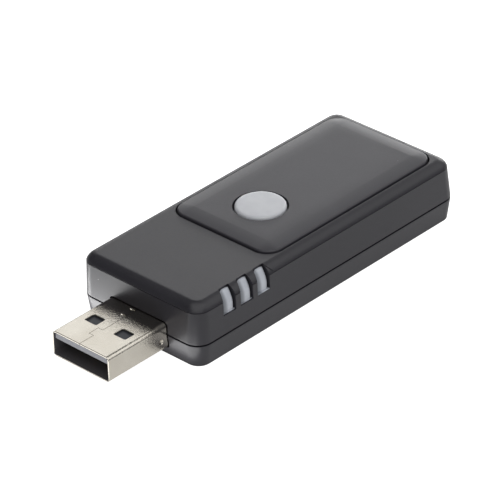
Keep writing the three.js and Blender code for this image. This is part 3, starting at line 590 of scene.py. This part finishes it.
def upper_shell():
    """The upper shell: its outer form, hollowed, with the panel's pocket, windows, bosses and end slots."""
    low, high = extent("upper_housing")
    piece = cut(upper_form("upper_shell"), crease_ring())
    panel_low, panel_high = extent("cover_panel")
    pocket_x, pocket_y = ((panel_low[axis] - PANEL_GAP, panel_high[axis] + PANEL_GAP) for axis in (0, 1))
    corners = (PANEL_CORNER + PANEL_GAP, PANEL_CORNER + PANEL_GAP)
    pocket = rounded_block("pocket", pocket_x, pocket_y, (POCKET_FLOOR_Z, high.z + BEYOND), corners)
    through = past((CEILING_Z, POCKET_FLOOR_Z))
    windows = [window_cutter(y) for y in WINDOW_Y]
    cut(piece,
        case_block("cavity", WALL, (low.z - BEYOND, CEILING_Z), segments=6),
        case_block("rabbet", RABBET_DEPTH, (low.z - BEYOND, RABBET_TOP_Z), segments=6),
        pocket, post("hole", 0, BUTTON_Y, through, FLANGE_HOLE_RADIUS, HOLE_SIDES),
        *pegs(through, PEG_HOLE_RADIUS))
    join(piece, *bosses((low.z, CEILING_Z + OVERLAP), BOSS_RADIUS))
    bores = bosses((low.z - BEYOND, PIN_TOP_Z + PIN_GAP), BOSS_BORE)
    cut(piece, *bores, *windows, plug_opening(), header_opening(), sweep_line())
    return dress(piece, "case", housing_abs, ["upper_housing"])


def lower_shell():
    """The lower shell: a drafted tray with a rounded bottom edge, a lip, and a pin on each boss."""
    low, high = extent("lower_housing")
    rim = extent("upper_housing")[0].z - PARTING_GAP
    start = (0.0, -rim + START_HEIGHT)
    piece = case_block("lower_shell", 0, (-start[1], rim))
    edge = round_levels((BASE_DRAFT, -BASE_EDGE), BASE_EDGE, count=6)
    flat = (BASE_DRAFT + BASE_EDGE + FLAT_STEP, 0.0)
    carry_on(piece, -UP, [(BASE_DRAFT, -BASE_EDGE), *edge, flat], start)
    join(piece, case_block("lip", LIP_OUTER, (rim / 2, LIP_TOP_Z), segments=6))
    cut(piece, case_block("cavity", LIP_INNER, (FLOOR, LIP_TOP_Z + BEYOND), segments=6))
    board_base = extent("circuit_board")[0].z - BOARD_GAP
    join(piece, *bosses((FLOOR - OVERLAP, board_base), BOSS_RADIUS))
    join(piece, *bosses((board_base - OVERLAP, PIN_TOP_Z), PIN_RADIUS))
    cut(piece, plug_opening(), header_opening())
    return dress(piece, "case", housing_abs, ["lower_housing"])


def panel():
    """The cover panel: a rounded raised edge, then a soft crown whose rounded corners close to points before
    it runs out flat."""
    low, high = extent("cover_panel")
    piece = rounded_block("panel", (low.x, high.x), (low.y, high.y), (PANEL_BASE_Z, PANEL_SIDE_Z),
                          (PANEL_CORNER, PANEL_CORNER))
    edge = round_levels((0.0, PANEL_SIDE_Z), PANEL_EDGE, count=5, end=math.radians(75))
    ends = (PANEL_EDGE, PANEL_SIDE_Z + PANEL_EDGE), (PANEL_CROWN_RUN, high.z)
    rounded = arc_levels(*ends, PANEL_HALF_TURN, spread(PANEL_EDGE, PANEL_POINT, count=12))
    mitred = arc_levels(*ends, PANEL_HALF_TURN, spread(PANEL_POINT, PANEL_CROWN_RUN, count=3)[1:])
    carry_on(piece, UP, [*edge, *rounded], (0.0, PANEL_SIDE_Z))
    with editing(piece):
        top = rounded[-1][1] * MM - 1e-6
        select(piece, "VERT", lambda vertex: vertex.co.z > top)
        # Each corner's arc has shrunk to nearly a point, and becomes one vertex here.
        bpy.ops.mesh.remove_doubles(threshold=PANEL_MERGE * MM)
    carry_on(piece, UP, [*mitred, (PANEL_CROWN_RUN + FLAT_STEP, high.z)], rounded[-1])
    join(piece, *pegs((low.z, PANEL_BASE_Z + OVERLAP), PEG_RADIUS))
    cut(piece, post("hole", 0, BUTTON_Y, past((PANEL_BASE_Z, high.z)), BUTTON_HOLE_RADIUS, FINE_SIDES))
    return dress(piece, "case", panel_abs, ["cover_panel"])


def push_button():
    """The button cap: a filleted rim under a slight dome, a flange that keeps it in, and a foot."""
    low, high = extent("button_cap")
    side_z = (FLANGE_TOP_Z - OVERLAP, BUTTON_SIDE_Z)
    piece = post("push_button", 0, BUTTON_Y, side_z, BUTTON_RADIUS, FINE_SIDES)
    fillet = round_levels((0.0, BUTTON_SIDE_Z), BUTTON_FILLET, count=9, end=math.radians(80))
    rim, rim_z = BUTTON_RADIUS - fillet[-1][0], fillet[-1][1]
    dome = []
    for ring in range(1, DOME_RINGS):
        share = 1 - ring / DOME_RINGS
        dome.append((BUTTON_RADIUS - rim * share, rim_z + (high.z - rim_z) * (1 - share ** 2)))
    carry_on(piece, UP, [*fillet, *dome], (0.0, BUTTON_SIDE_Z))
    flange = post("flange", 0, BUTTON_Y, (FLANGE_BASE_Z, FLANGE_TOP_Z), high.x, FINE_SIDES)
    soften(flange, 0.08)
    foot = post("foot", 0, BUTTON_Y, (low.z, FLANGE_BASE_Z + OVERLAP), BUTTON_POST_RADIUS, FOOT_SIDES)
    soften(foot, 0.1)
    join(piece, flange, foot)
    return dress(piece, "button", button_plastic, ["button_cap"], 30)


# Light pipes behind the three windows

def light_pipe(y, ledge_x):
    """One prong: its face follows the curve of the case's edge, its borders are rounded into a crown, and
    it stands on a ledge over the window's sill that reaches out to ledge_x."""
    top = extent("light_guide")[1].z
    piece = flared_block("prong", (PIPE_BACK_X, PIPE_FACE_X), y, PIPE_WIDTH, (PIPE_BASE_Z, top))
    levels = spread(top, PIPE_BASE_Z, count=14, power=1.3)[:-1]

    def is_border(edge):
        place = middle(edge)
        outer = place.x > PIPE_BORDER_X * MM and place.z > (PIPE_BASE_Z + NEAR) * MM
        return runs_level(edge) and outer and edge.calc_face_angle(0) > 0.8

    with editing(piece):
        for level in levels[1:]:
            bpy.ops.mesh.select_all(action="SELECT")
            bpy.ops.mesh.bisect(plane_co=(0, 0, level * MM), plane_no=UP)
        for level in levels:
            share = max(0.0, (level - PIPE_BEND_Z) / (top - PIPE_BEND_Z))
            drop = (PIPE_FACE_X - PIPE_CREST_X) * share ** PIPE_BEND_POWER
            select(piece, "VERT", lambda vertex: abs(vertex.co.z - level * MM) < 1e-6
                   and vertex.co.x > (PIPE_BACK_X + NEAR) * MM)
            bpy.ops.transform.translate(value=(-drop * MM, 0, 0))
        select(piece, "EDGE", is_border)
        bpy.ops.mesh.bevel(offset=PIPE_CROWN * MM, segments=8, affect="EDGES")
    column = flared_block("column", (PIPE_BACK_X, PIPE_FACE_X + 1), y, PIPE_WIDTH + 2 * NEAR,
                          past((PIPE_BASE_Z, top)))
    with editing(column):
        select(column, "EDGE", lambda edge: runs_along(edge, 2)
               and middle(edge).x < (PIPE_BACK_X + NEAR) * MM)
        bpy.ops.mesh.bevel(offset=PIPE_END * MM, segments=10, affect="EDGES")
    combine(piece, [column], "INTERSECT")
    ledge = flared_block("ledge", (PIPE_BACK_X, ledge_x), y, PIPE_WIDTH, LEDGE_Z)
    soften(ledge, 0.03)
    return join(piece, ledge)


def light_pipes():
    """The three prongs, on one bar that runs along the inside of the wall, over a stem for each light."""
    prongs = [light_pipe(y, ledge_x) for y, ledge_x in zip(WINDOW_Y, LEDGE_X)]
    low, high = extent("light_guide")
    bar = block("light_pipes", (low.x, BAR_OUTER_X), (low.y, high.y), BAR_Z)
    for y in WINDOW_Y:
        stem_y = (y - PIPE_WIDTH / 2, y + PIPE_WIDTH / 2)
        stem = block("stem", (low.x, STEM_OUTER_X), stem_y, (low.z, STEM_TOP_Z))
        arm = block("arm", ARM_X, (y - ARM_HALF_WIDTH, y + ARM_HALF_WIDTH), ARM_Z)
        join(bar, stem, arm)
    join(bar, *prongs)
    return dress(bar, "case", pipe_acrylic, ["light_guide"], 35)


# Plug

def seam_slits(zs):
    """The line where the folded sheet's ends meet, with a square tab that locks them."""
    low, high = extent("usb_plug_shell")
    half = SEAM_WIDTH / 2
    near, far = SEAM_TAB_Y
    start, end = past((low.y, high.y))
    across = (SEAM_TAB_X - half, SEAM_X + half)
    runs = [
        ((SEAM_X - half, SEAM_X + half), (start, near + half)),
        (across, (near - half, near + half)),
        ((SEAM_TAB_X - half, SEAM_TAB_X + half), (near - half, far + half)),
        (across, (far - half, far + half)),
        ((SEAM_X - half, SEAM_X + half), (far - half, end)),
    ]
    return [block("slit", xs, ys, zs) for xs, ys in runs]


def plug_shell():
    """The plug's folded shell: a rounded tube of sheet, open at both ends, with latch windows in its top and
    bottom, the seam of its fold, pressed marks and dimples, and an ear on each side behind the wall."""
    low, high = extent("usb_plug_shell")
    half = PLUG_HALF_WIDTH
    piece = rounded_block("plug_shell", (-half, half), (low.y, high.y), (low.z, high.z),
                          (PLUG_CORNER, PLUG_CORNER), axis=1, segments=8)
    with editing(piece):
        select(piece, "FACE", lambda face: abs(face.normal.y) > 0.9)
        bpy.ops.mesh.delete(type="FACE")
    apply_modifier(piece, "SOLIDIFY", thickness=PLUG_SHEET * MM, offset=-1, use_even_offset=True)
    latches = []
    for x in (-PLUG_LATCH_X, PLUG_LATCH_X):
        xs = (x - PLUG_LATCH_WIDTH / 2, x + PLUG_LATCH_WIDTH / 2)
        corners = (PLUG_LATCH_CORNER, PLUG_LATCH_CORNER)
        latches.append(rounded_block("latch", xs, PLUG_LATCH_Y, past((low.z, high.z)), corners, segments=4))
    cut(piece, *latches)
    soften(piece, 0.1, angle=50, segments=3)
    marks = [ball("mark", (MARK_X, y, high.z + MARK_RISE), MARK_RADII) for y in MARK_Y]
    centres = [(side * (half + DIMPLE_OUT), DIMPLE_Y, DIMPLE_Z) for side in SIDES]
    dimples = [ball("dimple", centre, [DIMPLE_RADIUS] * 3) for centre in centres]
    cut(piece, *seam_slits(past((high.z - PLUG_SHEET, high.z))), *marks, *dimples)
    for side in SIDES:
        xs = sorted((side * (half - OVERLAP), side * (half + EAR_REACH)))
        join(piece, block("ear", xs, (high.y - EAR_REACH, high.y - OVERLAP), EAR_Z))
    return dress(piece, "case", nickel, ["usb_plug_shell"], 30)


def refined(node, name, width, material, smooth_angle=30):
    """The CAD node's own shape with its edges broken."""
    source = frame["nodes"][node]
    piece = source.copy()
    piece.data = source.data.copy()
    piece.name = name
    for key in list(piece.keys()):
        del piece[key]
    piece.parent = None
    bpy.context.scene.collection.objects.link(piece)
    with editing(piece):
        bpy.ops.mesh.select_all(action="SELECT")
        bpy.ops.mesh.remove_doubles(threshold=0.001 * MM)
        bpy.ops.mesh.dissolve_limited(angle_limit=math.radians(1))
    if piece.data.has_custom_normals:
        bpy.ops.mesh.customdata_custom_splitnormals_clear()
    soften(piece, width)
    return dress(piece, "case", material, [node], smooth_angle)


shells = [upper_shell(), lower_shell()]
for make in (panel, push_button, light_pipes, plug_shell):
    make()
refined("usb_plug_insulator", "plug_tongue", 0.08, tongue_pbt)
refined("target_header_body", "header_shroud", 0.08, insulator_lcp)
for name in frame["nodes"]:
    if name.startswith("target_header_pin"):
        refined(name, name.replace("target_header_pin", "header_pin"), 0.06, gold)
    if name.startswith("usb_contact"):
        refined(name, name.replace("usb_contact", "plug_contact"), 0.05, gold)


# Camera, floor and light

CAMERA_PLACE, CAMERA_LENS = (341.42, -355.38, 311.17), 268.5
CAMERA_AZIMUTH, CAMERA_ELEVATION, CAMERA_ROLL = 43.753, 31.818, -1.642
FLOOR_SIZE, FLOOR_Z, GLOW_Z = 6000, -0.05, 0.2


def look(azimuth, elevation, roll):
    """The camera's axes for a view from that azimuth, elevation and roll in degrees."""
    a, e, r = (math.radians(angle) for angle in (azimuth, elevation, roll))
    back = Vector((math.sin(a) * math.cos(e), -math.cos(a) * math.cos(e), math.sin(e)))
    level = Vector((math.cos(a), math.sin(a), 0))
    rise = back.cross(level)
    right = level * math.cos(r) + rise * math.sin(r)
    up = rise * math.cos(r) - level * math.sin(r)
    return Matrix((right, up, back)).transposed().to_4x4()


def set_camera():
    data = bpy.data.cameras.new("camera")
    data.lens = CAMERA_LENS
    data.sensor_width = 36.0
    data.clip_start = 0.01
    camera = bpy.data.objects.new("camera", data)
    bpy.context.scene.collection.objects.link(camera)
    place = Matrix.Translation(Vector(CAMERA_PLACE) * MM)
    camera.matrix_world = place @ look(CAMERA_AZIMUTH, CAMERA_ELEVATION, CAMERA_ROLL)
    bpy.context.scene.camera = camera


def soft_light(name, place, aim, size, power):
    """A soft box at a place, facing a point, with its size in millimetres and its power in watts."""
    data = bpy.data.lights.new(name, "AREA")
    data.shape = "RECTANGLE"
    data.size, data.size_y = (side * MM for side in size)
    data.energy = power
    box = bpy.data.objects.new(name, data)
    bpy.context.scene.collection.objects.link(box)
    direction = Vector(aim) - Vector(place)
    turn = direction.to_track_quat("-Z", "Y").to_matrix().to_4x4()
    box.matrix_world = Matrix.Translation(Vector(place) * MM) @ turn
    box.visible_camera = False
    return box


def floor_glow(name, x, y, size, power):
    """A small light on the floor that shines straight up."""
    return soft_light(name, (x, y, GLOW_Z), (x, y, GLOW_Z + 1), size, power)


def shine_only_on(light, pieces):
    """Keeps a light to these pieces, so that it doesn't show in their polished neighbours."""
    receivers = bpy.data.collections.new(light.name)
    for piece in pieces:
        receivers.objects.link(piece)
    light.light_linking.receiver_collection = receivers


def pale_floor():
    """A sheet of white card. The camera sees it evenly white, and the object sees it as lit card."""
    bpy.ops.object.select_all(action="DESELECT")
    bpy.ops.mesh.primitive_plane_add(size=FLOOR_SIZE * MM, location=(0, 0, FLOOR_Z * MM))
    floor = placed("floor")
    material, tree, place = new_material("matt white card")
    fibres = add(tree, "TexNoise", {"Vector": place, "Scale": per(1.5), "Detail": 3.0})
    colour = add(tree, "ValToRGB", {"Fac": fibres}, [(0.3, 0xC9C9C9), (0.7, 0xD0D0D0)])
    seen = add(tree, "LightPath").outputs["Is Camera Ray"]
    glow = add(tree, "MapRange", {"Value": seen, "To Min": 0.3, "To Max": 1.0})
    surface(tree, {"Base Color": colour, "Roughness": 0.9, "Emission Color": srgb(0xFFFFFF),
                   "Emission Strength": glow})
    floor.data.materials.append(material)


def set_world():
    world = bpy.data.worlds.new("dim room")
    world.use_nodes = True
    world.node_tree.nodes["Background"].inputs["Color"].default_value = srgb(0x606060)
    bpy.context.scene.world = world


set_camera()
pale_floor()
set_world()
soft_light("key soft box", (260, -240, 620), (0, 0, 0), (1100, 1100), 4.0)
soft_light("back screen", (-420, 560, 400), (0, 0, 0), (900, 600), 1.62)
soft_light("low back screen", (-430, 790, 130), (0, 0, 0), (700, 130), 1.65)
soft_light("right fill", (430, 510, 520), (0, 0, 0), (850, 600), 1.45)
front_glows = [
    floor_glow("near front glow", -15, -26.4, (18, 4.4), 0.0016),
    floor_glow("far front glow", -21, -33, (26, 8.5), 0.0016),
    floor_glow("right front glow", 9.5, -27.5, (11, 6), 0.00055),
]
for glow in front_glows:
    shine_only_on(glow, shells)
floor_glow("lip glow", -4, -42, (24, 7), 0.0007)
bpy.context.scene.view_settings.view_transform = "Standard"

materials = {
    "gold_plate": gold, "tin_plate": tin, "board_laminate": laminate, "chip_epoxy": epoxy,
    "capacitor_ceramic": ceramic, "led_lens": lens, "housing_plastic": housing_abs,
    "panel_plastic": panel_abs, "milky_plastic": pipe_acrylic, "nickel_plate": nickel,
    "insulator_plastic": insulator_lcp,
}
for part in frame["record"]["subparts"]:
    node = frame["nodes"][part["node"]]
    if not node.hide_render:
        node.data.materials.clear()
        node.data.materials.append(materials[part["material_slot"]])
